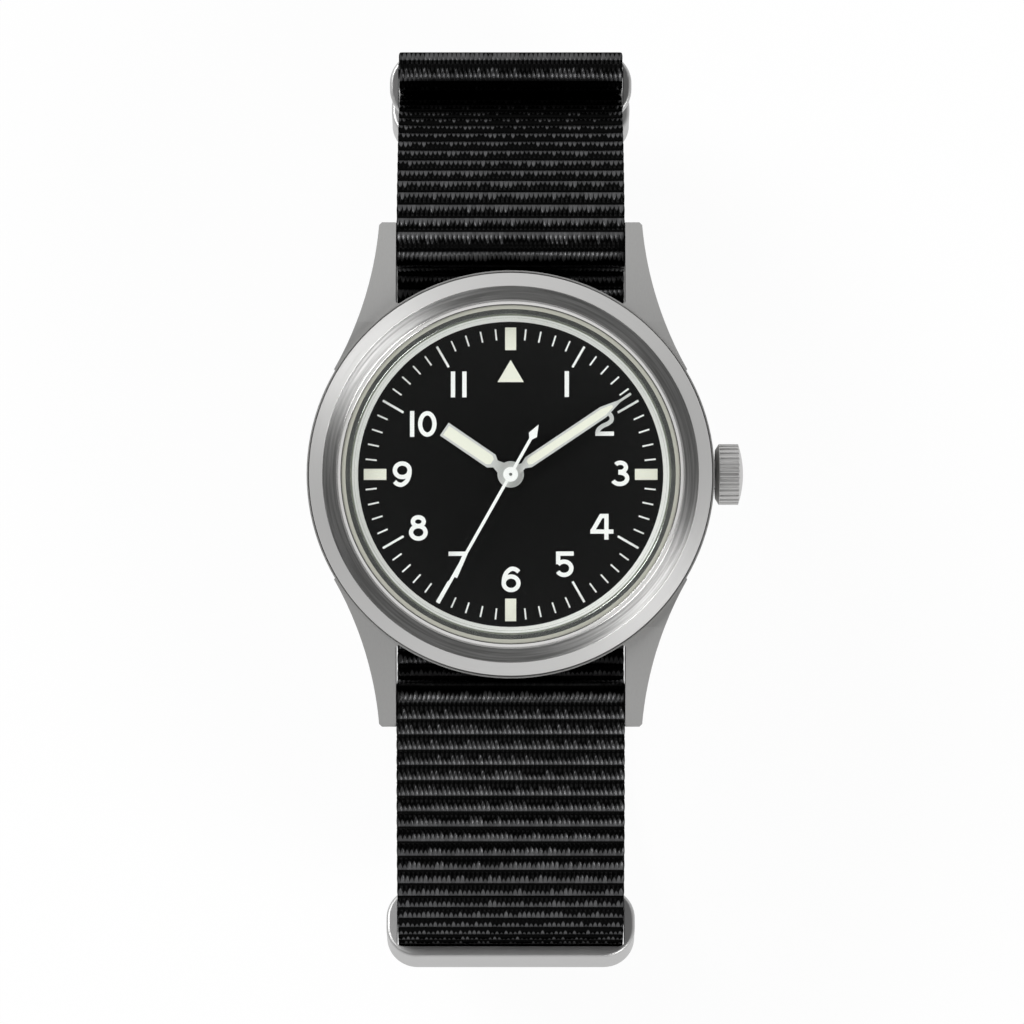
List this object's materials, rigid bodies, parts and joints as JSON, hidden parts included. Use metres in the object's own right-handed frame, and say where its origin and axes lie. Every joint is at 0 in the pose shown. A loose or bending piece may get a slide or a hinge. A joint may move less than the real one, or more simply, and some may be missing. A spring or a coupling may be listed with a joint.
{
  "type": "field watch",
  "caption": "Round steel field watch with domed crystal, black dial, luminous hands and a closed pass-through webbing strap with steel rings and buckle.",
  "frame": {"origin": "on the flat outer face of the strap's bottom run, under the dial's axis", "axes": "+Z out of the dial, +Y to 12 o'clock, +X to the crown at 3 o'clock"},
  "size_m": [0.0387, 0.0834, 0.0444],
  "materials": {
    "satin_steel": "satin and brushed, polished on edges",
    "hand_steel": "white-silver satin",
    "crystal_glass": "polished, domed",
    "seal_rubber": "matt",
    "black_dial": "matt black",
    "flange_steel": "pale satin",
    "luminous_fill": "matt pale green white",
    "black_webbing": "ribbed woven nylon",
    "movement_brass": "machined",
    "movement_plastic": "moulded",
    "copper_winding": "enamelled wire"
  },
  "bodies": {
    "watch": {"case_body": "satin_steel", "case_back": "satin_steel", "bezel": "satin_steel", "crown_tube": "satin_steel", "spring_bar_tubes": "satin_steel", "spring_bar_springs": "satin_steel", "flap_ring": "satin_steel", "keeper_near": "satin_steel", "keeper_far": "satin_steel", "movement_screws": "satin_steel", "stator": "satin_steel", "coil_core": "satin_steel", "battery": "satin_steel", "battery_clip": "satin_steel", "quartz_can": "satin_steel", "crystal": "crystal_glass", "crystal_gasket": "seal_rubber", "case_back_gasket": "seal_rubber", "dial": "black_dial", "flange_ring": "flange_steel", "dial_plots": "luminous_fill", "main_strap": "black_webbing", "flap_strap": "black_webbing", "main_plate": "movement_brass", "train_bridge": "movement_brass", "movement_holder": "movement_plastic", "circuit_board": "movement_plastic", "chip": "movement_plastic", "coil": "copper_winding"},
    "seconds": {"seconds_wheel": "movement_brass", "seconds_hand": "hand_steel"},
    "minutes": {"centre_wheel": "movement_brass", "cannon_pinion": "movement_brass", "minute_hand": "hand_steel", "minute_hand_lume": "luminous_fill"},
    "hours": {"hour_wheel": "movement_brass", "hour_hand": "hand_steel", "hour_hand_lume": "luminous_fill"},
    "third": {"third_wheel": "movement_brass"},
    "fifth": {"fifth_wheel": "movement_brass"},
    "rotor": {"rotor": "satin_steel"},
    "minute_gear": {"minute_wheel": "movement_brass"},
    "setting_gear": {"setting_wheel": "movement_brass"},
    "crown_seal": {"crown_gasket": "seal_rubber"},
    "crown": {"crown": "satin_steel", "stem": "satin_steel"},
    "clutch": {"clutch": "satin_steel"},
    "setting_lever": {"setting_lever": "satin_steel"},
    "yoke": {"yoke": "satin_steel"},
    "tip_12_crown": {"spring_bar_tip_12_crown": "satin_steel"},
    "tip_12_plain": {"spring_bar_tip_12_plain": "satin_steel"},
    "tip_6_crown": {"spring_bar_tip_6_crown": "satin_steel"},
    "tip_6_plain": {"spring_bar_tip_6_plain": "satin_steel"},
    "buckle_frame": {"buckle_frame": "satin_steel"},
    "buckle_tongue": {"buckle_tongue": "satin_steel"}
  },
  "joints": [
    {"name": "seconds_turn", "type": "hinge", "parent": "watch", "child": "seconds", "pos_m": [0, 0, 0.034], "axis": [0, 0, -1], "continuous": true},
    {"name": "minutes_turn", "type": "hinge", "parent": "watch", "child": "minutes", "pos_m": [0, 0, 0.034], "axis": [0, 0, -1], "continuous": true},
    {"name": "hours_turn", "type": "hinge", "parent": "watch", "child": "hours", "pos_m": [0, 0, 0.034], "axis": [0, 0, -1], "continuous": true},
    {"name": "third_turn", "type": "hinge", "parent": "watch", "child": "third", "pos_m": [-0.00071, 0.00402, 0.034], "axis": [0, 0, -1], "continuous": true},
    {"name": "fifth_turn", "type": "hinge", "parent": "watch", "child": "fifth", "pos_m": [-0.00294, -0.00247, 0.034], "axis": [0, 0, -1], "continuous": true},
    {"name": "rotor_turn", "type": "hinge", "parent": "watch", "child": "rotor", "pos_m": [-0.00448, -0.00514, 0.034], "axis": [0, 0, -1], "continuous": true},
    {"name": "minute_gear_turn", "type": "hinge", "parent": "watch", "child": "minute_gear", "pos_m": [0.00295, 0.00206, 0.034], "axis": [0, 0, -1], "continuous": true},
    {"name": "setting_gear_turn", "type": "hinge", "parent": "watch", "child": "setting_gear", "pos_m": [0.00641, -0.00031, 0.034], "axis": [0, 0, -1], "continuous": true},
    {"name": "crown_pull", "type": "slide", "parent": "watch", "child": "crown_seal", "axis": [1, 0, 0], "range_m": [0, 0.001]},
    {"name": "crown_spin", "type": "hinge", "parent": "crown_seal", "child": "crown", "pos_m": [0.0185, 0, 0.03765], "axis": [1, 0, 0], "continuous": true},
    {"name": "clutch_slide", "type": "slide", "parent": "watch", "child": "clutch", "axis": [-1, 0, 0], "range_m": [0, 0.0007]},
    {"name": "setting_lever_swing", "type": "hinge", "parent": "watch", "child": "setting_lever", "pos_m": [0.0113, 0.0032, 0.034], "axis": [0, 0, 1], "range_deg": [0, 18]},
    {"name": "yoke_swing", "type": "hinge", "parent": "watch", "child": "yoke", "pos_m": [0.0094, -0.0034, 0.034], "axis": [0, 0, 1], "range_deg": [0, 11.9]},
    {"name": "tip_12_crown_press", "type": "slide", "parent": "watch", "child": "tip_12_crown", "axis": [-1, 0, 0], "range_m": [0, 0.0013], "stiffness_N_per_m": 500, "springref_m": -0.001, "deforming": ["spring_bar_springs"]},
    {"name": "tip_12_plain_press", "type": "slide", "parent": "watch", "child": "tip_12_plain", "axis": [1, 0, 0], "range_m": [0, 0.0013], "stiffness_N_per_m": 500, "springref_m": -0.001, "deforming": ["spring_bar_springs"]},
    {"name": "tip_6_crown_press", "type": "slide", "parent": "watch", "child": "tip_6_crown", "axis": [-1, 0, 0], "range_m": [0, 0.0013], "stiffness_N_per_m": 500, "springref_m": -0.001, "deforming": ["spring_bar_springs"]},
    {"name": "tip_6_plain_press", "type": "slide", "parent": "watch", "child": "tip_6_plain", "axis": [1, 0, 0], "range_m": [0, 0.0013], "stiffness_N_per_m": 500, "springref_m": -0.001, "deforming": ["spring_bar_springs"]},
    {"name": "buckle_frame_swing", "type": "hinge", "parent": "watch", "child": "buckle_frame", "pos_m": [0, 0.021, 0.0039], "axis": [1, 0, 0], "range_deg": [0, 2.5]},
    {"name": "buckle_tongue_swing", "type": "hinge", "parent": "buckle_frame", "child": "buckle_tongue", "pos_m": [0, 0.021, 0.0039], "axis": [1, 0, 0], "range_deg": [0, 2.5]}
  ],
  "couplings": [
    {"joint": "minutes_turn", "follows": "seconds_turn", "ratio": 0.016667},
    {"joint": "hours_turn", "follows": "seconds_turn", "ratio": 0.0013889},
    {"joint": "third_turn", "follows": "seconds_turn", "ratio": -0.13333},
    {"joint": "fifth_turn", "follows": "seconds_turn", "ratio": -5},
    {"joint": "rotor_turn", "follows": "seconds_turn", "ratio": 30},
    {"joint": "minute_gear_turn", "follows": "seconds_turn", "ratio": -0.0055556},
    {"joint": "setting_gear_turn", "follows": "seconds_turn", "ratio": 0.01},
    {"joint": "clutch_slide", "follows": "crown_pull", "ratio": 0.7},
    {"joint": "setting_lever_swing", "follows": "crown_pull", "rad_per_m": 312.5},
    {"joint": "yoke_swing", "follows": "crown_pull", "rad_per_m": 205.88}
  ]
}
